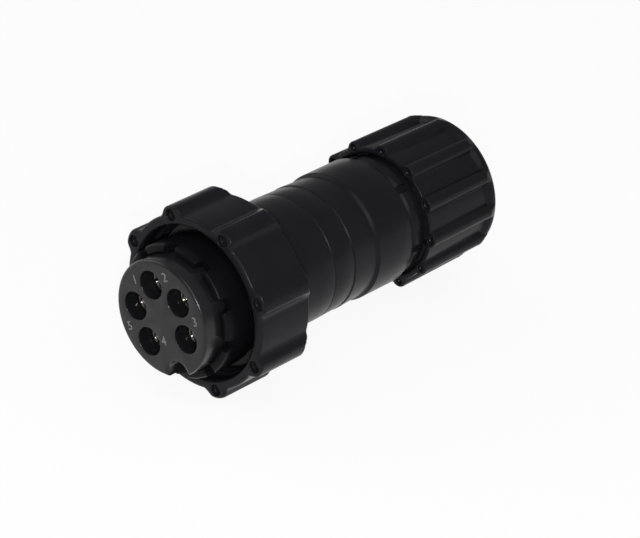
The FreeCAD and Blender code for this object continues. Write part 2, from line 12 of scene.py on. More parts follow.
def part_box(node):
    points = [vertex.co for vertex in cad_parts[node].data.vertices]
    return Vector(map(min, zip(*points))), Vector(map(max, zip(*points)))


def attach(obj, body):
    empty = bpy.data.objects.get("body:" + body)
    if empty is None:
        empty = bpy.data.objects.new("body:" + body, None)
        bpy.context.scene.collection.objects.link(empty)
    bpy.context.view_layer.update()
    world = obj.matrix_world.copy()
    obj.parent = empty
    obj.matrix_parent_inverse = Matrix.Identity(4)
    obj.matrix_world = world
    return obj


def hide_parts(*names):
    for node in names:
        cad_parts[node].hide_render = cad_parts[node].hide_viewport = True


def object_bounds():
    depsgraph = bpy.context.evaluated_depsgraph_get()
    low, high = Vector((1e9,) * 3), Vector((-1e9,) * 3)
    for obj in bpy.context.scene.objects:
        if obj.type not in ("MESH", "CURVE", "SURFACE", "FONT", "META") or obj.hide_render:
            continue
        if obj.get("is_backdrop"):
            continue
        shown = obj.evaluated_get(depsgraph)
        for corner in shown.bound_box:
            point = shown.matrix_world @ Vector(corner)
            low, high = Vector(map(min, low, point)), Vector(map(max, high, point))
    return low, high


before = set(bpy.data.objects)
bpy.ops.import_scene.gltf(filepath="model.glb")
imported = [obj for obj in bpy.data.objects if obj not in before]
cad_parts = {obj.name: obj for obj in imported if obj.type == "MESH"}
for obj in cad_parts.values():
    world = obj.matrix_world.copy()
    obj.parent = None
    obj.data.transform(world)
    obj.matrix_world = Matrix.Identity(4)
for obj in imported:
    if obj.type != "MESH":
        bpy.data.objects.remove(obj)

bl_info = {
    "name": "Circular Power Plug",
    "version": (1, 0, 0),
    "blender": (4, 5, 0),
    "location": "View3D > Sidebar > Plug",
    "description": "Models the pieces of a five-pole cable plug and the stage around it",
    "category": "Object",
}

# Pieces are written in millimetres: stations along X from the insert's face, and radii.
# Angles are in degrees round X from the top, clockwise as seen from the mating side.
MM = 0.001
KEY_ANGLE = 154.0
POLE_CIRCLE = 6.5
POLE_HOLE = 2.75
POLE_PITCH = 64.5
# pole 1 is opposite the keyway, and the others stand on both sides of it
POLE_ANGLES = tuple(KEY_ANGLE - 180 + POLE_PITCH * step for step in (0, 1, 2, -2, -1))
# angle and radius of each pole number on the insert's face
DIGIT_PLACES = ((-52, 8.6), (4, 8.9), (70, 9.0), (166, 4.3), (-122, 9.0))
# steps round a piece with ribs, slots or seams, round a plain one and round a pole
FINE = 720
MEDIUM = 480
POLE_STEPS = 96
# a piece is spun through one sector, which is then repeated
SECTORS = 8
# vertices nearer than this, in metres, are one
WELD = 1e-6


def linear(hexcode):
    """The linear red, green and blue of an sRGB hex colour."""
    channels = [int(hexcode[i:i + 2], 16) / 255 for i in (0, 2, 4)]
    return tuple(c / 12.92 if c <= 0.04045 else ((c + 0.055) / 1.055) ** 2.4 for c in channels)


# Settings

class PlugSizes(bpy.types.PropertyGroup):
    """Sizes that only the dressed pieces have."""

    thread_pitch: FloatProperty(
        name="Thread pitch", description="Distance from one thread turn to the next",
        default=2.0 * MM, min=1.0 * MM, max=4.0 * MM, unit="LENGTH")
    thread_depth: FloatProperty(
        name="Coupling thread depth", description="Height of the thread in the coupling nut",
        default=0.55 * MM, min=0.2 * MM, max=1.0 * MM, unit="LENGTH")
    digit_height: FloatProperty(
        name="Digit height", description="Height of the pole numbers",
        default=1.8 * MM, min=0.8 * MM, max=2.5 * MM, unit="LENGTH")
    digit_rise: FloatProperty(
        name="Digit rise", description="How far the pole numbers stand out of the insert",
        default=0.14 * MM, min=0.09 * MM, max=0.4 * MM, unit="LENGTH")
    parting_line: FloatProperty(
        name="Parting line", description="Height of the mould's parting line on the barrel",
        default=0.03 * MM, min=0.0, max=0.2 * MM, unit="LENGTH")
    coupling_ribs: IntProperty(
        name="Coupling nut ribs", description="Number of ribs round the coupling nut",
        default=8, min=3, max=24)
    gland_ribs: IntProperty(
        name="Gland nut ribs", description="Number of ribs round the gland nut",
        default=12, min=3, max=36)


class PlugColours(bpy.types.PropertyGroup):
    """Colours of the finishes."""

    nylon: FloatVectorProperty(
        name="Moulded nylon", description="Nuts, barrel and lock ring", subtype="COLOR",
        default=linear("18181B"), min=0, max=1)
    insulator: FloatVectorProperty(
        name="Insulator", description="Contact insert", subtype="COLOR",
        default=linear("161618"), min=0, max=1)
    # the numbers' pale grey is painted glints
    numbers: FloatVectorProperty(
        name="Painted_glint numbers", description="Raised pole numbers", subtype="COLOR",
        default=linear("626264"), min=0, max=1)
    rubber: FloatVectorProperty(
        name="Rubber", description="Cable seal, gasket and ring", subtype="COLOR",
        default=linear("17171A"), min=0, max=1)
    # darker than plated silver: partly tarnish, partly painted shade for the contacts deep in
    # their holes
    silver: FloatVectorProperty(
        name="Silver plate", description="Socket contacts", subtype="COLOR",
        default=linear("8E8C87"), min=0, max=1)
    zinc: FloatVectorProperty(
        name="Zinc plate", description="Terminal screws and snap ring", subtype="COLOR",
        default=linear("B9BCC0"), min=0, max=1)
    washer: FloatVectorProperty(
        name="Natural nylon", description="Seal washer", subtype="COLOR",
        default=linear("D9D6CC"), min=0, max=1)


# Places and curves

def ends(node):
    """Where a solid starts and stops along X."""
    low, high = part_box(node)
    return low.x / MM, high.x / MM


def around(radius, angle, x=0.0):
    """The point at a radius, angle and station, in metres."""
    a = math.radians(angle)
    return Vector((x, -radius * math.sin(a), radius * math.cos(a))) * MM


def off_grid(theta, start, pitch):
    """Angle from the nearest of a ring of evenly spaced places."""
    return (theta - start + pitch / 2) % pitch - pitch / 2


def blend(value, low, high):
    """0 below low, 1 above high and a smooth rise between."""
    t = min(max((value - low) / (high - low), 0), 1)
    return t * t * (3 - 2 * t)


def soft_max(a, b, width):
    """The larger of two values with a fillet where they meet."""
    h = max(width - abs(a - b), 0) / width
    return max(a, b) + h * h * width / 4


def along(x, stations):
    """The value at x on a line through (station, value) points."""
    for (x0, v0), (x1, v1) in zip(stations, stations[1:]):
        if x <= x1:
            return v0 + (v1 - v0) * min(max((x - x0) / (x1 - x0), 0), 1)
    return stations[-1][1]


def rib(across, tip, half_top, slope, corner):
    """Radius of a grip rib with a bowed top, at a distance from its middle line."""
    bow, drop = 0.09, 0.08
    crown = tip - bow * across * across
    flank = tip - drop - (abs(across) - half_top) * slope
    return -soft_max(-crown, -flank, corner)


def round_rib(off, centre, radius):
    """Radius of a round-topped rib at an angle off its middle line, or 0 beside it."""
    side = radius * radius - (centre * math.sin(off)) ** 2
    return centre * math.cos(off) + math.sqrt(side) if side > 0 else 0


def seam(theta, angle, height):
    """Rise of the mould's parting line, a low ridge on two opposite sides."""
    half_width = 0.6
    return height * (1 - min(abs(off_grid(theta, angle, 180)) / half_width, 1))


# Mesh tools

def section(bm, corners, segments=3):
    """A closed outline in the XZ plane from (station, radius, round) corners."""
    outline = [bm.verts.new((x * MM, 0, r * MM)) for x, r, _ in corners]
    bm.faces.new(outline)
    for width in sorted({w for _, _, w in corners if w}):
        picked = [v for v, (_, _, w) in zip(outline, corners) if w == width and v.is_valid]
        bmesh.ops.bevel(
            bm, geom=picked, offset=width * MM, offset_type="OFFSET", affect="VERTICES",
            segments=segments, profile=0.5, material=-1)
    bm.faces.ensure_lookup_table()
    return bm.faces[0]


def moved_copy(bm, geom, matrix):
    """A copy of some of a bmesh, moved by a matrix."""
    copy = bmesh.ops.duplicate(bm, geom=geom)["geom"]
    verts = [item for item in copy if isinstance(item, bmesh.types.BMVert)]
    bmesh.ops.transform(bm, matrix=matrix, verts=verts)


def weld(bm, distance=WELD):
    """Merge double vertices, then turn all faces outwards."""
    bmesh.ops.remove_doubles(bm, verts=bm.verts, dist=distance)
    bmesh.ops.recalc_face_normals(bm, faces=bm.faces)


def turned(corners, steps=MEDIUM, segments=3):
    """A new bmesh: an outline spun through one sector about X, repeated and welded."""
    bm = bmesh.new()
    face = section(bm, corners, segments)
    edges = list(face.edges)
    bmesh.ops.delete(bm, geom=[face], context="FACES_ONLY")
    bmesh.ops.spin(
        bm, geom=edges, cent=(0, 0, 0), axis=(1, 0, 0), dvec=(0, 0, 0),
        angle=math.tau / SECTORS, steps=steps // SECTORS, use_merge=False,
        use_duplicate=False)
    sector = bm.verts[:] + bm.edges[:] + bm.faces[:]
    for k in range(1, SECTORS):
        moved_copy(bm, sector, Matrix.Rotation(math.tau * k / SECTORS, 4, "X"))
    weld(bm)
    return bm


def reshape(bm, rule):
    """Move each vertex by a rule on its station, radius and angle."""
    for v in bm.verts:
        x, r = v.co.x / MM, math.hypot(v.co.y, v.co.z) / MM
        theta = math.degrees(math.atan2(-v.co.y, v.co.z))
        x, r = rule(x, r, theta)
        v.co = around(r, theta, x)


def sweep(bm, corners, pitch, turns, start, steps):
    """One turn of an outline wound about X, repeated along X and closed."""
    face = section(bm, corners, 1)
    bmesh.ops.rotate(bm, cent=(0, 0, 0), matrix=Matrix.Rotation(math.radians(start), 3, "X"),
                     verts=bm.verts)
    edges = list(face.edges)
    bmesh.ops.delete(bm, geom=[face], context="FACES_ONLY")
    bmesh.ops.spin(
        bm, geom=edges, cent=(0, 0, 0), axis=(1, 0, 0), dvec=(pitch * MM / steps, 0, 0),
        angle=math.tau, steps=steps, use_merge=False, use_duplicate=False)
    one = bm.verts[:] + bm.edges[:] + bm.faces[:]
    for k in range(1, turns):
        moved_copy(bm, one, Matrix.Translation((pitch * MM * k, 0, 0)))
    bmesh.ops.remove_doubles(bm, verts=bm.verts, dist=WELD)
    bmesh.ops.holes_fill(bm, edges=[e for e in bm.edges if e.is_boundary], sides=0)
    bmesh.ops.recalc_face_normals(bm, faces=bm.faces)


def run_out(bm, root, start, pitch, turns, fade):
    """Sink both ends of a thread ridge into the wall that carries it."""
    for v in bm.verts:
        x, r = v.co.x / MM, math.hypot(v.co.y, v.co.z) / MM
        wound = (x - start) / pitch
        keep = blend(wound, 0.0, fade) * (1 - blend(wound, turns - fade, turns))
        grown = root + (r - root) * keep
        v.co.y *= grown / r
        v.co.z *= grown / r


def thread(middle, base, crest, rounding, pitch, turns, start, steps, fade):
    """A thread ridge that starts at a station and an angle and sinks in at both ends."""
    half_base, half_top = 0.75, 0.2
    bm = bmesh.new()
    sweep(bm, [
        (middle - half_base, base, 0), (middle - half_top, crest, rounding),
        (middle + half_top, crest, rounding), (middle + half_base, base, 0),
    ], pitch, turns, start, steps)
    run_out(bm, base, middle, pitch, turns, fade)
    return bm


def cutter(x, radius, centre, angle, depth, flare, steps=48):
    """A round cutter along +X from just in front of a face, with a rounded mouth."""
    ahead, chamfer, gap = 1.0, 0.15, 0.001
    arc = [math.radians(18 * k) for k in range(1, 6)]
    mouth = [(x + flare * (1 - math.cos(t)), radius + flare * (1 - math.sin(t)), 0)
             for t in arc]
    end = x + depth
    bm = turned([
        (x - ahead, 0, 0), (x - ahead, radius + flare + chamfer, 0),
        (x - gap, radius + flare, 0), *mouth,
        (end - chamfer, radius, 0), (end, radius - chamfer, 0), (end, 0, 0),
    ], steps)
    bmesh.ops.translate(bm, verts=bm.verts, vec=around(centre, angle))
    return bm


def joined(meshes):
    """One bmesh that holds several."""
    whole = bmesh.new()
    for bm in meshes:
        part = bpy.data.meshes.new("part")
        bm.to_mesh(part)
        whole.from_mesh(part)
        bm.free()
        bpy.data.meshes.remove(part)
    return whole


def to_object(bm, name):
    """A new object from a bmesh, linked to the scene."""
    mesh = bpy.data.meshes.new(name)
    bm.to_mesh(mesh)
    bm.free()
    obj = bpy.data.objects.new(name, mesh)
    bpy.context.scene.collection.objects.link(obj)
    return obj


def join_on(obj, bm):
    """Add a bmesh to an object's mesh."""
    base = bmesh.new()
    base.from_mesh(obj.data)
    whole = joined([base, bm])
    whole.to_mesh(obj.data)
    whole.free()


def cut(obj, bm):
    """Cut a bmesh out of an object and keep the result as its mesh."""
    tool = to_object(bm, "tool")
    modifier = obj.modifiers.new("cut", "BOOLEAN")
    modifier.operation = "DIFFERENCE"
    modifier.solver = "EXACT"
    modifier.object = tool
    evaluated = obj.evaluated_get(bpy.context.evaluated_depsgraph_get())
    mesh = bpy.data.meshes.new_from_object(evaluated)
    if not mesh.polygons:
        raise RuntimeError(f"{obj.name}: the cut left nothing")
    obj.modifiers.clear()
    obj.data = mesh
    bpy.data.objects.remove(tool)


def dress(obj, material, body, slot, *nodes, angle=32):
    """Finish a piece: shading, material, what it moves with and what it stands for."""
    mesh = obj.data
    mesh.materials.clear()
    mesh.materials.append(material)
    mesh.polygons.foreach_set("use_smooth", [True] * len(mesh.polygons))
    mesh.set_sharp_from_angle(angle=math.radians(angle))
    mesh.update()
    flatten = obj.modifiers.new("flat faces", "WEIGHTED_NORMAL")
    flatten.keep_sharp = True
    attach(obj, body)
    if nodes:
        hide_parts(*nodes)


# Materials

def add(tree, kind, links=(), **settings):
    """Add a node, set its values and link its inputs."""
    node = tree.nodes.new(kind)
    for name, value in settings.items():
        if hasattr(node, name):
            setattr(node, name, value)
        else:
            node.inputs[name.replace("_", " ")].default_value = value
    for name, source in dict(links).items():
        tree.links.new(source, node.inputs[name])
    return node


def kept(make):
    """Let a function make its material once, under the function's own name."""
    @wraps(make)
    def found_or_made():
        name = make.__name__
        return bpy.data.materials.get(name) or make(name)
    return found_or_made


def surface(name, **values):
    """A new material with its node tree, its shader and the object's coordinates."""
    material = bpy.data.materials.new(name)
    material.use_nodes = True
    tree = material.node_tree
    tree.nodes.clear()
    shader = add(tree, "ShaderNodeBsdfPrincipled", **values)
    add(tree, "ShaderNodeOutputMaterial", {"Surface": shader.outputs["BSDF"]})
    place = add(tree, "ShaderNodeTexCoord").outputs["Object"]
    return material, tree, shader, place


def cells(width):
    """Scale of a pattern whose cells are this many millimetres wide."""
    return 1 / (width * MM)


def mottle(tree, shader, source, colour, dark, light):
    """Let the base colour drift between a darker and a lighter shade."""
    tint = add(tree, "ShaderNodeMix", {"Factor": source}, data_type="RGBA")
    tint.inputs["A"].default_value = (*[c * dark for c in colour], 1)
    tint.inputs["B"].default_value = (*[min(c * light, 1) for c in colour], 1)
    tree.links.new(tint.outputs["Result"], shader.inputs["Base Color"])
    return tint


def gloss(tree, shader, source, low, high):
    """Let the roughness drift between two values."""
    drift = add(tree, "ShaderNodeMapRange", {"Value": source}, From_Min=0.3, From_Max=0.7,
                To_Min=low, To_Max=high)
    tree.links.new(drift.outputs["Result"], shader.inputs["Roughness"])


@kept
def moulded_nylon(name):
    """Glass-filled nylon 6, injection moulded: satin black with a fine spark texture."""
    material, tree, shader, place = surface(name, IOR=1.53, Specular_IOR_Level=0.08)
    # glass fibre near the skin: faint lighter clouds
    clouds = add(tree, "ShaderNodeTexNoise", {"Vector": place}, Scale=cells(6.25), Detail=4.0)
    mottle(tree, shader, clouds.outputs["Fac"], bpy.context.scene.plug_colours.nylon, 0.8, 1.2)
    # handling leaves patches that are a little shinier
    patches = add(tree, "ShaderNodeTexNoise", {"Vector": place}, Scale=cells(11.8), Detail=5.0)
    gloss(tree, shader, patches.outputs["Fac"], 0.25, 0.33)
    # the moulding sinks by hundredths of a millimetre over thick places
    sink = add(tree, "ShaderNodeTexNoise", {"Vector": place}, Scale=cells(3.03), Detail=2.0)
    rise = add(tree, "ShaderNodeBump", {"Height": sink.outputs["Fac"]},
               Strength=0.3, Distance=0.1 * MM)
    # spark texture of the mould: 0.05 mm in life, drawn coarser so that it shows
    grain = add(tree, "ShaderNodeTexNoise", {"Vector": place}, Scale=cells(0.143), Detail=2.0)
    bump = add(tree, "ShaderNodeBump",
               {"Height": grain.outputs["Fac"], "Normal": rise.outputs["Normal"]},
               Strength=0.18, Distance=0.03 * MM)
    tree.links.new(bump.outputs["Normal"], shader.inputs["Normal"])
    return material


@kept
def polished_nylon(name):
    """The same nylon from a mould without spark texture, coloured far darker than the nuts as
    painted shade inside the coupling nut.
    """
    material, tree, shader, place = surface(name, IOR=1.53, Specular_IOR_Level=0.06)
    clouds = add(tree, "ShaderNodeTexNoise", {"Vector": place}, Scale=cells(4.55), Detail=3.0)
    # painted shade: the colour drifts with the clouds between three and six tenths of the
    # nylon's
    mottle(tree, shader, clouds.outputs["Fac"], bpy.context.scene.plug_colours.nylon, 0.3, 0.6)
    gloss(tree, shader, clouds.outputs["Fac"], 0.28, 0.36)
    # low flow ripples
    ripple = add(tree, "ShaderNodeTexNoise", {"Vector": place}, Scale=cells(2.0), Detail=1.0)
    bump = add(tree, "ShaderNodeBump", {"Height": ripple.outputs["Fac"]},
               Strength=0.2, Distance=0.06 * MM)
    tree.links.new(bump.outputs["Normal"], shader.inputs["Normal"])
    return material


@kept
def matt_insulator(name):
    """Glass-filled polyester, moulded: even dark grey with fine pale fibre specks."""
    material, tree, shader, place = surface(name, IOR=1.55, Specular_IOR_Level=0.27)
    colour = bpy.context.scene.plug_colours.insulator
    clouds = add(tree, "ShaderNodeTexNoise", {"Vector": place}, Scale=cells(3.85), Detail=5.0)
    tint = mottle(tree, shader, clouds.outputs["Fac"], colour, 0.88, 1.12)
    # ends of glass fibres: sparse pale specks, one to a cell and a quarter as wide
    specks = add(tree, "ShaderNodeTexVoronoi", {"Vector": place}, Scale=cells(0.385))
    spot = add(tree, "ShaderNodeMapRange", {"Value": specks.outputs["Distance"]},
               From_Min=0.06, From_Max=0.14, To_Min=0.2, To_Max=0.0)
    speckled = add(tree, "ShaderNodeMix",
                   {"Factor": spot.outputs["Result"], "A": tint.outputs["Result"]},
                   data_type="RGBA")
    speckled.inputs["B"].default_value = (*[min(c * 2.2, 1) for c in colour], 1)
    tree.links.new(speckled.outputs["Result"], shader.inputs["Base Color"])
    gloss(tree, shader, clouds.outputs["Fac"], 0.2, 0.26)
    # spark texture of the mould: 0.05 mm in life, drawn coarser so that it shows
    grain = add(tree, "ShaderNodeTexNoise", {"Vector": place}, Scale=cells(0.167), Detail=2.0)
    bump = add(tree, "ShaderNodeBump", {"Height": grain.outputs["Fac"]},
               Strength=0.15, Distance=0.03 * MM)
    tree.links.new(bump.outputs["Normal"], shader.inputs["Normal"])
    return material


@kept
def rubbed_insulator(name):
    """Raised numbers of the insulator, rubbed shiny by mating, with pale colour as painted
    glints.
    """
    material, tree, shader, place = surface(name, IOR=1.55, Roughness=0.14)
    # uneven pale spots: painted glints on the raised numbers
    glint_spots = add(tree, "ShaderNodeTexNoise", {"Vector": place}, Scale=cells(0.5), Detail=3.0)
    mottle(tree, shader, glint_spots.outputs["Fac"], bpy.context.scene.plug_colours.numbers,
           0.05, 2.1)
    return material


@kept
def seal_rubber(name):
    """Nitrile rubber, compression moulded: soft matt black with a dusty bloom."""
    material, tree, shader, place = surface(
        name, IOR=1.52, Sheen_Weight=0.06, Sheen_Roughness=0.5)
    bloom = add(tree, "ShaderNodeTexNoise", {"Vector": place}, Scale=cells(5.26), Detail=6.0)
    mottle(tree, shader, bloom.outputs["Fac"], bpy.context.scene.plug_colours.rubber, 0.8, 1.5)
    gloss(tree, shader, bloom.outputs["Fac"], 0.62, 0.8)
    # the mould's matt texture
    grain = add(tree, "ShaderNodeTexNoise", {"Vector": place}, Scale=cells(0.286), Detail=3.0)
    bump = add(tree, "ShaderNodeBump", {"Height": grain.outputs["Fac"]},
               Strength=0.3, Distance=0.04 * MM)
    tree.links.new(bump.outputs["Normal"], shader.inputs["Normal"])
    return material


def plated(name, colour, low, high, tool_pitch):
    """Turned metal under a thin plating, with tool marks at a pitch in millimetres."""
    material, tree, shader, place = surface(name, Metallic=1.0)
    film = add(tree, "ShaderNodeTexNoise", {"Vector": place}, Scale=cells(2.38), Detail=4.0)
    mottle(tree, shader, film.outputs["Fac"], colour, 0.86, 1.08)
    gloss(tree, shader, film.outputs["Fac"], low, high)
    # at scale 1 the wave goes through 20 radians in a metre
    scale = math.tau / 20 * cells(tool_pitch)
    marks = add(tree, "ShaderNodeTexWave", {"Vector": place}, wave_type="BANDS",
                bands_direction="X", Scale=scale, Distortion=1.5)
    bump = add(tree, "ShaderNodeBump", {"Height": marks.outputs["Fac"]},
               Strength=0.15, Distance=0.03 * MM)
    tree.links.new(bump.outputs["Normal"], shader.inputs["Normal"])
    return material


@kept
def silver_plate(name):
    """Brass turned on a bar lathe, then silver plated: shiny, a little tarnished, and coloured
    darker still as painted shade deep in the pole holes.
    """
    return plated(name, bpy.context.scene.plug_colours.silver, 0.1, 0.15, 0.25)


@kept
def zinc_plate(name):
    """Steel with bright zinc plating: cooler and a little duller than the silver."""
    return plated(name, bpy.context.scene.plug_colours.zinc, 0.28, 0.42, 0.4)


@kept
def natural_nylon(name):
    """Unfilled nylon, moulded: milky off-white."""
    material, tree, shader, place = surface(name, IOR=1.53)
    clouds = add(tree, "ShaderNodeTexNoise", {"Vector": place}, Scale=cells(3.33), Detail=3.0)
    mottle(tree, shader, clouds.outputs["Fac"], bpy.context.scene.plug_colours.washer,
           0.92, 1.05)
    gloss(tree, shader, clouds.outputs["Fac"], 0.38, 0.5)
    return material


@kept
def white_sweep(name):
    """Photographer's white paper, lit from behind so that only a faint shadow is left."""
    material, tree, shader, place = surface(name, Roughness=0.9)
    fibre = add(tree, "ShaderNodeTexNoise", {"Vector": place}, Scale=cells(1.11), Detail=3.0)
    mottle(tree, shader, fibre.outputs["Fac"], linear("F8F8F8"), 0.97, 1.03)
    glow = add(tree, "ShaderNodeEmission", Color=(1, 1, 1, 1), Strength=1.0)
    shown = seen_directly(tree)
    # the light from behind is nine tenths of what is seen, and the shadow is in the rest
    share = add(tree, "ShaderNodeMath", {0: shown.outputs[0]}, operation="MULTIPLY")
    share.inputs[1].default_value = 0.9
    paper = add(tree, "ShaderNodeMixShader", {
        0: share.outputs[0], 1: shader.outputs["BSDF"], 2: glow.outputs[0]})
    output = next(node for node in tree.nodes if node.type == "OUTPUT_MATERIAL")
    tree.links.new(paper.outputs[0], output.inputs["Surface"])
    return material


def seen_directly(tree):
    """1 where the background is seen by the camera, in a reflection or through glass."""
    path = add(tree, "ShaderNodeLightPath")
    first = add(tree, "ShaderNodeMath", {0: path.outputs["Is Camera Ray"],
                                         1: path.outputs["Is Glossy Ray"]},
                operation="MAXIMUM")
    return add(tree, "ShaderNodeMath", {0: first.outputs[0],
                                        1: path.outputs["Is Transmission Ray"]},
               operation="MAXIMUM")


def repaint(material, *nodes):
    """Give solids that stay in sight a finished material."""
    for node in nodes:
        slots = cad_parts[node].material_slots
        if not slots:
            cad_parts[node].data.materials.append(material)
        for slot in slots:
            slot.material = material


# Pieces

class PLUG_OT_coupling_nut(bpy.types.Operator):
    """Model the ribbed coupling nut, with its thread and the dimple in each rib"""

    bl_idname = "plug.coupling_nut"
    bl_label = "Coupling nut"

    def execute(self, context):
        sizes = context.scene.plug_sizes
        front, back = ends("coupling_nut")
        between = 360 / sizes.coupling_ribs
        # the nut lies on two ribs, so the top is midway between two others
        first = between / 2
        crest, valley, tip, bore = 14.5, 17.0, 18.66, 12.68
        root = crest + sizes.thread_depth / MM
        # the wall is round up to the lip, and beyond the shoulder it follows the ribs
        lip, shoulder = 15.6, 16.4
        bevel, inner_floor = 1.2, 18.65
        # the ribs' widths are taken at this radius
        grip = 17.9
        trim = ((front, tip), (back - bevel, tip), (back, tip - bevel))

        def ribs(x, r, theta):
            if r < lip:
                return x, r
            off = math.radians(off_grid(theta, first, between))
            lobe = rib(grip * math.sin(off), tip, half_top=1.45, slope=1.08, corner=0.25)
            outside = min(soft_max(valley, lobe, width=0.8), along(x, trim))
            return x, r + (outside - valley) * blend(r, lip, shoulder)

        bm = turned([
            (front, 15.35, 0.15), (front, lip, 0), (front, shoulder, 0), (front, valley, 0.6),
            (front + 4, valley, 0), (front + 8, valley, 0), (back - bevel, valley, 0),
            (back - 0.8, valley, 0), (back - 0.4, valley, 0), (back, valley, 0.25),
            (back, bore, 0.15), (inner_floor, bore, 0.1), (inner_floor, root, 0.2),
            (front + 0.6, root, 0.1),
        ], FINE)
        reshape(bm, ribs)
        bmesh.ops.recalc_face_normals(bm, faces=bm.faces)
        nut = to_object(bm, "coupling_nut_moulded")
        cut(nut, joined(
            cutter(front, radius=1.15, centre=16.9, angle=first + between * k,
                   depth=0.9, flare=0.15)
            for k in range(sizes.coupling_ribs)))
        join_on(nut, thread(
            middle=11.15, base=root + 0.1, crest=crest, rounding=0.12,
            pitch=sizes.thread_pitch / MM, turns=3, start=40, steps=144, fade=0.35))
        dress(nut, moulded_nylon(), "coupling_nut", "coupling_nut", "coupling_nut")
        return {"FINISHED"}


class PLUG_OT_gland_nut(bpy.types.Operator):
    """Model the ribbed gland nut, with its rear rim, inner cone and dimples"""

    bl_idname = "plug.gland_nut"
    bl_label = "Gland nut"

    def execute(self, context):
        sizes = context.scene.plug_sizes
        front, back = ends("gland_nut")
        between = 360 / sizes.gland_ribs
        tip, round_top, draft = 14.9, 1.75, math.radians(0.6)
        # the wall is round up to the lip, and beyond the shoulder it follows the ribs
        lip, shoulder = 12.7, 13.2
        waist, brim, bevel = 13.2, 14.05, 0.5
        rim, rim_step = back - 2.6, 1.1
        bore, cable_hole, cone = 12.48, 7.765, 9.25
        cone_start, cone_end = 73.2, 76.5
        valley = ((front, 13.7), (rim, waist), (rim + rim_step, brim), (back - bevel, brim),
                  (back, brim - bevel))
        trim = ((front, tip), (rim, tip), (back - bevel, brim), (back, brim - bevel))

        def ribs(x, r, theta):
            if r < lip:
                return x, r
            here = along(x, valley)
            off = math.radians(off_grid(theta, 0, between))
            radius = round_top - math.tan(draft) * (x - front)
            lobe = round_rib(off, tip - round_top, radius)
            outside = soft_max(here, lobe, width=0.35) if lobe > 0 else here
            outside = max(min(outside, along(x, trim)), here)
            return x, r + (outside - here) * blend(r, lip, shoulder)

        bm = turned([
            (front, 12.78, 0.12), (front, shoulder, 0), (front, 13.7, 0.28),
            (front + 5.6, 13.533, 0), (front + 11.2, 13.367, 0), (rim, waist, 0.35),
            (rim + rim_step, brim, 0.35), (back - bevel, brim, 0.3), (back, brim - bevel, 0.3),
            (back, 12.9, 0), (back, cable_hole, 0.35), (cone_end, cable_hole, 0.2),
            (cone_start, cone, 0.2), (cone_start, bore, 0.2), (front + 0.3, bore, 0),
        ], FINE)
        reshape(bm, ribs)
        bmesh.ops.recalc_face_normals(bm, faces=bm.faces)
        nut = to_object(bm, "gland_nut_moulded")
        cut(nut, joined(
            cutter(front, radius=0.75, centre=13.6, angle=between * k, depth=0.7, flare=0.2)
            for k in range(sizes.gland_ribs)))
        dress(nut, moulded_nylon(), "gland_nut", "gland_nut", "gland_nut")
        return {"FINISHED"}


class PLUG_OT_front_shell(bpy.types.Operator):
    """Model the front half of the barrel, with its flange and parting lines"""

    bl_idname = "plug.front_shell"
    bl_label = "Front shell"

    def execute(self, context):
        height = context.scene.plug_sizes.parting_line / MM
        front, back = ends("front_shell")
        spigot, flange, neck, barrel, tongue = 12.3, 14.2, 12.0, 12.6, 11.2
        bore, rear_bore, line = 11.4, 10.1, 12.44
        flange_start, flange_end = 15.6, 18.35
        groove_start, groove_end = 21.4, 22.3
        step, joint, seam_angle = 30.5, 38.59, 39.7

        def parting(x, r, theta):
            if r > spigot and x > groove_end + 0.1:
                return x, r + seam(theta, seam_angle, height)
            return x, r

        bm = turned([
            (front, bore, 0.1), (front, spigot, 0.15), (flange_start, spigot, 0.08),
            (flange_start, flange, 0.2), (flange_end, flange, 0.2), (flange_end, barrel, 0.1),
            (groove_start, barrel, 0.05), (groove_start, neck, 0), (groove_end, neck, 0),
            (groove_end, barrel, 0.05), (26.0, barrel, 0), (30.0, barrel, 0),
            (33.01, barrel, 0.04), (33.07, line, 0), (33.12, line, 0), (33.28, 12.58, 0.03),
            (36.0, 12.49, 0), (joint, 12.42, 0.12), (joint, tongue, 0.05),
            (back, tongue, 0.3), (back, rear_bore, 0.2), (step, rear_bore, 0.1),
            (step, bore, 0.1),
        ], FINE)
        reshape(bm, parting)
        shell = to_object(bm, "front_shell_moulded")
        dress(shell, moulded_nylon(), "plug_body", "housing", "front_shell")
        return {"FINISHED"}


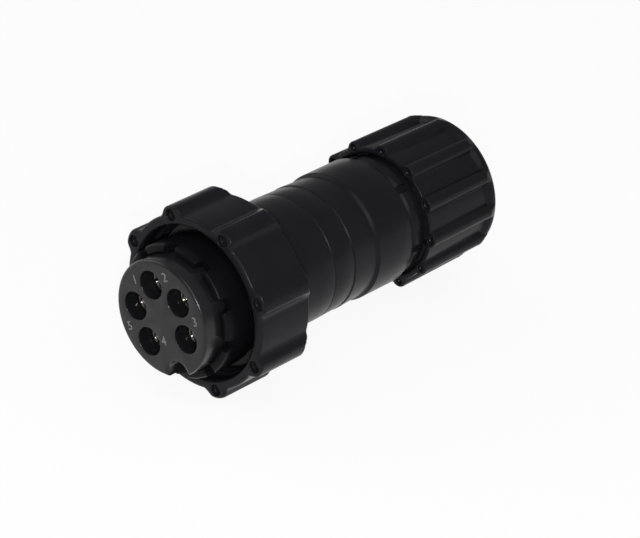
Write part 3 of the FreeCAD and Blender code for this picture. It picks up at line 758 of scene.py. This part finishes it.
class PLUG_OT_rear_housing(bpy.types.Operator):
    """Model the rear half of the barrel and the threaded neck with its gaps"""

    bl_idname = "plug.rear_housing"
    bl_label = "Rear housing"

    def execute(self, context):
        sizes = context.scene.plug_sizes
        height = sizes.parting_line / MM
        front, back = ends("rear_housing")
        barrel, root, lug, crest = 12.8, 11.5, 12.15, 12.4
        sleeve, bore, throat, seal_bore = 11.25, 10.4, 7.8, 9.0
        sleeve_end, barrel_end, throat_start, throat_end = 44.69, 54.45, 53.5, 57.0
        # six gaps run along the neck through the lugs and the thread
        seam_angle, gap_angle, gap_pitch, half_gap = 38.4, 38, 60, 0.7
        # the barrel's outer face is beyond this radius
        inside = 12.2

        def seams_and_gaps(x, r, theta):
            if r > inside and x < barrel_end - 0.25:
                return x, r + seam(theta, seam_angle, height)
            if x > barrel_end + 0.15 and r > root + 0.01:
                off = math.radians(off_grid(theta, gap_angle, gap_pitch))
                wall = blend(abs(math.sin(off)) * r, half_gap - 0.12, half_gap + 0.14)
                return x, root + (r - root) * wall
            return x, r

        barrel_and_neck = turned([
            (front, sleeve, 0.1), (front, 12.38, 0), (38.79, 12.55, 0.05),
            (44.7, 12.27, 0.1), (45.33, barrel, 0.1), (50.0, barrel, 0),
            (barrel_end, barrel, 0.3), (barrel_end, root, 0.08), (55.45, root, 0.1),
            (56.05, 12.02, 0.16), (57.0, lug, 0), (57.85, lug, 0.16), (58.0, root, 0.1),
            (64.0, root, 0), (back, root, 0.3), (back, seal_bore, 0.25),
            (throat_end, seal_bore, 0.05), (throat_end, throat, 0.15),
            (throat_start, throat, 0.15), (throat_start, bore, 0.3),
            (sleeve_end, bore, 0.1), (sleeve_end, sleeve, 0.1),
        ], FINE)
        ridge = thread(
            middle=59.45, base=root - 0.1, crest=crest, rounding=0.08,
            pitch=sizes.thread_pitch / MM, turns=5, start=38, steps=360, fade=0.22)
        whole = joined([barrel_and_neck, ridge])
        reshape(whole, seams_and_gaps)
        housing = to_object(whole, "rear_housing_moulded")
        dress(housing, moulded_nylon(), "plug_body", "housing", "rear_housing")
        return {"FINISHED"}


class PLUG_OT_contact_insert(bpy.types.Operator):
    """Model the insulator with its five holes, keyway and raised pole numbers"""

    bl_idname = "plug.contact_insert"
    bl_label = "Contact insert"

    def execute(self, context):
        sizes = context.scene.plug_sizes
        # the numbers end at the solid's face, so the moulded face lies behind it
        face = sizes.digit_rise / MM
        back = ends("contact_insert")[1]
        nose, collar, tail = 11.3, 12.2, 10.0
        collar_start, collar_end, tail_start = 6.45, 8.0, 30.3
        bm = turned([
            (face, 0, 0), (face, 6.0, 0), (face, nose, 0.6), (collar_start, nose, 0),
            (collar_start, collar, 0.15), (collar_end, collar, 0.15), (collar_end, nose, 0),
            (tail_start, nose, 0.3), (tail_start, tail, 0), (back, tail, 0.3), (back, 0, 0),
        ], MEDIUM, 5)
        insert = to_object(bm, "contact_insert_moulded")
        holes = [cutter(face, POLE_HOLE, POLE_CIRCLE, angle, depth=42.2, flare=0.16,
                        steps=POLE_STEPS) for angle in POLE_ANGLES]
        keyway = cutter(face, radius=2.7, centre=10.95, angle=KEY_ANGLE, depth=6.0, flare=0.6,
                        steps=POLE_STEPS)
        cut(insert, joined([*holes, keyway]))
        dress(insert, matt_insulator(), "plug_body", "insert", "contact_insert", angle=20)
        for number, (angle, radius) in enumerate(DIGIT_PLACES, start=1):
            mesh = self.digit(sizes, number)
            # a number's right goes to -Y, its top to +Z and its front to the mating side
            facing = Matrix(((0, 0, -1), (-1, 0, 0), (0, 1, 0))).to_4x4()
            square = Matrix.Rotation(math.radians(KEY_ANGLE - 180), 4, "X")
            spot = Matrix.Translation(around(radius, angle, face))
            mesh.transform(spot @ square @ facing)
            obj = bpy.data.objects.new(f"pole_number_{number}", mesh)
            context.scene.collection.objects.link(obj)
            # the numbers' pale colour is painted glints
            dress(obj, rubbed_insulator(), "plug_body", "insert")
        return {"FINISHED"}

    @staticmethod
    def digit(sizes, number):
        """The mesh of a raised number with rounded edges, lying flat."""
        rounding, slimming, size_per_height = 0.08 * MM, 0.06 * MM, 1.35
        curve = bpy.data.curves.new(f"digit_{number}", "FONT")
        curve.body = str(number)
        curve.size = sizes.digit_height * size_per_height
        curve.extrude = sizes.digit_rise - rounding
        curve.bevel_depth = rounding
        curve.bevel_resolution = 3
        curve.offset = -slimming
        curve.align_x = "CENTER"
        curve.align_y = "CENTER"
        holder = bpy.data.objects.new("holder", curve)
        bpy.context.scene.collection.objects.link(holder)
        evaluated = holder.evaluated_get(bpy.context.evaluated_depsgraph_get())
        mesh = bpy.data.meshes.new_from_object(evaluated)
        bpy.data.objects.remove(holder)
        bm = bmesh.new()
        bm.from_mesh(mesh)
        weld(bm, WELD / 10)
        bm.to_mesh(mesh)
        bm.free()
        return mesh


class PLUG_OT_lock_ring(bpy.types.Operator):
    """Model the slotted ring that holds the insert"""

    bl_idname = "plug.lock_ring"
    bl_label = "Lock ring"

    def execute(self, context):
        front, back = ends("insert_lock_ring")
        bore, rim, outside, collar_bore = 11.4, 12.2, 13.0, 12.38
        slot_floor, bore_step, collar = 5.85, 5.86, 6.45
        # ten slots, whose flanks slope from the first half width to the second
        slot_angle, slot_pitch, at_floor, at_front = 26, 36, 0.8, 1.4

        def slotted(x, r, theta):
            if x < bore_step:
                off = math.radians(off_grid(theta, slot_angle, slot_pitch))
                wall = blend(abs(math.sin(off)) * r, at_floor, at_front)
                return max(x, slot_floor) * (1 - wall) + x * wall, r
            return x, r

        bm = turned([
            (front, bore, 0.2), (front, rim, 0), (front, outside, 0.6), (slot_floor, outside, 0),
            (8.5, outside, 0), (back, outside, 0.25), (back, collar_bore, 0.1),
            (collar, collar_bore, 0), (collar, bore, 0.1), (bore_step, bore, 0),
        ], FINE, 4)
        reshape(bm, slotted)
        weld(bm, 5 * WELD)
        ring = to_object(bm, "insert_lock_ring_moulded")
        # the ring's darker nylon is painted shade inside the coupling nut
        dress(ring, polished_nylon(), "plug_body", "lock_ring", "insert_lock_ring")
        return {"FINISHED"}


class PLUG_OT_contacts(bpy.types.Operator):
    """Model the five slotted socket contacts with their stepped lips"""

    bl_idname = "plug.contacts"
    bl_label = "Socket contacts"

    def execute(self, context):
        for number, angle in enumerate(POLE_ANGLES, start=1):
            name = f"socket_contact_{number}"
            contact = to_object(self.blank(*ends(name)), f"{name}_turned")
            cut(contact, joined([self.blade(0), self.blade(90), self.drill()]))
            spot = Matrix.Translation(around(POLE_CIRCLE, angle))
            contact.data.transform(spot @ Matrix.Rotation(math.radians(angle), 4, "X"))
            dress(contact, silver_plate(), "plug_body", "contact", name)
        return {"FINISHED"}

    @staticmethod
    def blank(front, back):
        """A contact as it leaves the lathe, with its socket and its wire cup."""
        socket, sleeve, collar, tail, wire_cup = 1.55, 2.4, 2.85, 2.75, 1.9
        lip, lip_end = 2.18, 3.5
        collar_start, collar_end, cup_floor, socket_floor = 15.0, 17.0, 40.5, 13.3
        return turned([
            (lip_end, socket, 0.12), (lip_end, lip, 0), (front, lip, 0.09),
            (front, sleeve, 0.1), (collar_start, sleeve, 0), (collar_start, collar, 0.1),
            (collar_end, collar, 0.1), (collar_end, tail, 0), (back, tail, 0.25),
            (back, wire_cup, 0.15), (cup_floor, wire_cup, 0), (cup_floor, 0, 0),
            (socket_floor, 0, 0), (socket_floor, socket, 0),
        ], POLE_STEPS, 5)

    @staticmethod
    def blade(angle):
        """A thin cutter across the mouth, for two of the four slots."""
        size, middle = (8.5, 0.4, 6.8), (6.55, 0, 0)
        bm = bmesh.new()
        bmesh.ops.create_cube(bm, size=1.0)
        bmesh.ops.scale(bm, vec=Vector(size) * MM, verts=bm.verts)
        bmesh.ops.translate(bm, vec=Vector(middle) * MM, verts=bm.verts)
        bmesh.ops.rotate(bm, cent=(0, 0, 0), verts=bm.verts,
                         matrix=Matrix.Rotation(math.radians(angle), 3, "X"))
        return bm

    @staticmethod
    def drill():
        """A cutter for the screw hole in the wire end."""
        radius, depth, middle = 1.3 * MM, 4 * MM, (46.1, 0, 2)
        bm = bmesh.new()
        bmesh.ops.create_cone(
            bm, cap_ends=True, segments=32, radius1=radius, radius2=radius, depth=depth)
        bmesh.ops.translate(bm, vec=Vector(middle) * MM, verts=bm.verts)
        return bm


class PLUG_OT_metal_pieces(bpy.types.Operator):
    """Finish the terminal screws and the snap ring"""

    bl_idname = "plug.metal_pieces"
    bl_label = "Screws and snap ring"

    def execute(self, context):
        screws = [f"terminal_screw_{number + 1}" for number in range(len(POLE_ANGLES))]
        repaint(zinc_plate(), "nut_snap_ring", *screws)
        return {"FINISHED"}


class PLUG_OT_gland_parts(bpy.types.Operator):
    """Finish the seals, washer and clamp cage"""

    bl_idname = "plug.gland_parts"
    bl_label = "Seals and clamp"

    def execute(self, context):
        repaint(seal_rubber(), "cable_seal", "shell_o_ring", "face_seal")
        repaint(natural_nylon(), "seal_washer")
        repaint(moulded_nylon(), "clamp_cage")
        return {"FINISHED"}


# Stage

class PLUG_OT_stage(bpy.types.Operator):
    """Set the white sweep, the soft lamps and the camera"""

    bl_idname = "plug.stage"
    bl_label = "Stage"

    def execute(self, context):
        scene = context.scene
        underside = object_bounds()[0][2]
        bm = bmesh.new()
        bmesh.ops.create_grid(bm, x_segments=1, y_segments=1, size=3.0)
        bmesh.ops.translate(bm, verts=bm.verts, vec=(0, 0, underside))
        floor = to_object(bm, "floor")
        floor.data.materials.append(white_sweep())
        floor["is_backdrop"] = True
        self.studio(scene)
        # each lamp's name, place and width in metres, and its watts
        self.lamp(scene, "overhead", (-0.4, -0.5, 1.0), 1.0, 4.0)
        self.lamp(scene, "flash", (-0.37, -0.36, 0.26), 0.03, 1.9)
        self.lamp(scene, "side fill", (-0.25, 0.9, 0.5), 1.0, 3.0)
        self.camera(scene)
        scene.view_settings.view_transform = "Standard"
        return {"FINISHED"}

    @staticmethod
    def studio(scene):
        """A plain soft world all round."""
        world = bpy.data.worlds.new("studio")
        scene.world = world
        world.use_nodes = True
        tree = world.node_tree
        tree.nodes.clear()
        plain = add(tree, "ShaderNodeBackground", Color=(1, 1, 1, 1), Strength=0.35)
        add(tree, "ShaderNodeOutputWorld", {"Surface": plain.outputs[0]})

    @staticmethod
    def lamp(scene, name, spot, width, watts):
        """A round soft lamp aimed at the middle of the plug."""
        light = bpy.data.lights.new(name, "AREA")
        light.energy = watts
        light.shape = "DISK"
        light.size = width
        lamp = bpy.data.objects.new(name, light)
        scene.collection.objects.link(lamp)
        lamp.location = spot
        middle = Vector((0.035, 0, 0))
        lamp.rotation_euler = (middle - Vector(spot)).to_track_quat("-Z", "Y").to_euler()

    @staticmethod
    def camera(scene):
        """A long lens in front of the mating end, to its left and above it."""
        lens = bpy.data.cameras.new("camera")
        lens.sensor_width = 36
        lens.lens = 178.508
        lens.clip_start = 0.01
        camera = bpy.data.objects.new("camera", lens)
        scene.collection.objects.link(camera)
        right = Vector((0.67603421, -0.73487768, 0.05415296))
        up = Vector((0.33347295, 0.37064834, 0.86684231))
        forward = Vector((0.65709477, 0.56795651, -0.49563279))
        facing = Matrix((right, up, -forward)).transposed().to_4x4()
        spot = Vector((-0.352826, -0.342134, 0.292515))
        camera.matrix_world = Matrix.Translation(spot) @ facing
        scene.camera = camera


OPERATORS = (
    PLUG_OT_coupling_nut, PLUG_OT_gland_nut, PLUG_OT_front_shell, PLUG_OT_rear_housing,
    PLUG_OT_contact_insert, PLUG_OT_lock_ring, PLUG_OT_contacts, PLUG_OT_metal_pieces,
    PLUG_OT_gland_parts, PLUG_OT_stage,
)


class PLUG_PT_pieces(bpy.types.Panel):
    """Lists the plug's pieces"""

    bl_idname = "PLUG_PT_pieces"
    bl_label = "Circular power plug"
    bl_space_type = "VIEW_3D"
    bl_region_type = "UI"
    bl_category = "Plug"

    def draw(self, context):
        for group in (context.scene.plug_sizes, context.scene.plug_colours):
            for name in group.bl_rna.properties.keys():
                if name not in ("rna_type", "name"):
                    self.layout.prop(group, name)
        for operator in OPERATORS:
            self.layout.operator(operator.bl_idname)


CLASSES = (PlugSizes, PlugColours, *OPERATORS, PLUG_PT_pieces)


def register():
    """Register the classes and hang the settings on the scene."""
    for cls in CLASSES:
        bpy.utils.register_class(cls)
    bpy.types.Scene.plug_sizes = PointerProperty(type=PlugSizes)
    bpy.types.Scene.plug_colours = PointerProperty(type=PlugColours)


def unregister():
    """Take the settings and classes away again."""
    del bpy.types.Scene.plug_colours
    del bpy.types.Scene.plug_sizes
    for cls in reversed(CLASSES):
        bpy.utils.unregister_class(cls)


def main():
    """Make every piece, then the stage."""
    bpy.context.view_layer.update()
    register()
    bpy.ops.plug.coupling_nut()
    bpy.ops.plug.gland_nut()
    bpy.ops.plug.front_shell()
    bpy.ops.plug.rear_housing()
    bpy.ops.plug.contact_insert()
    bpy.ops.plug.lock_ring()
    bpy.ops.plug.contacts()
    bpy.ops.plug.metal_pieces()
    bpy.ops.plug.gland_parts()
    bpy.ops.plug.stage()


if __name__ == "__main__":
    main()
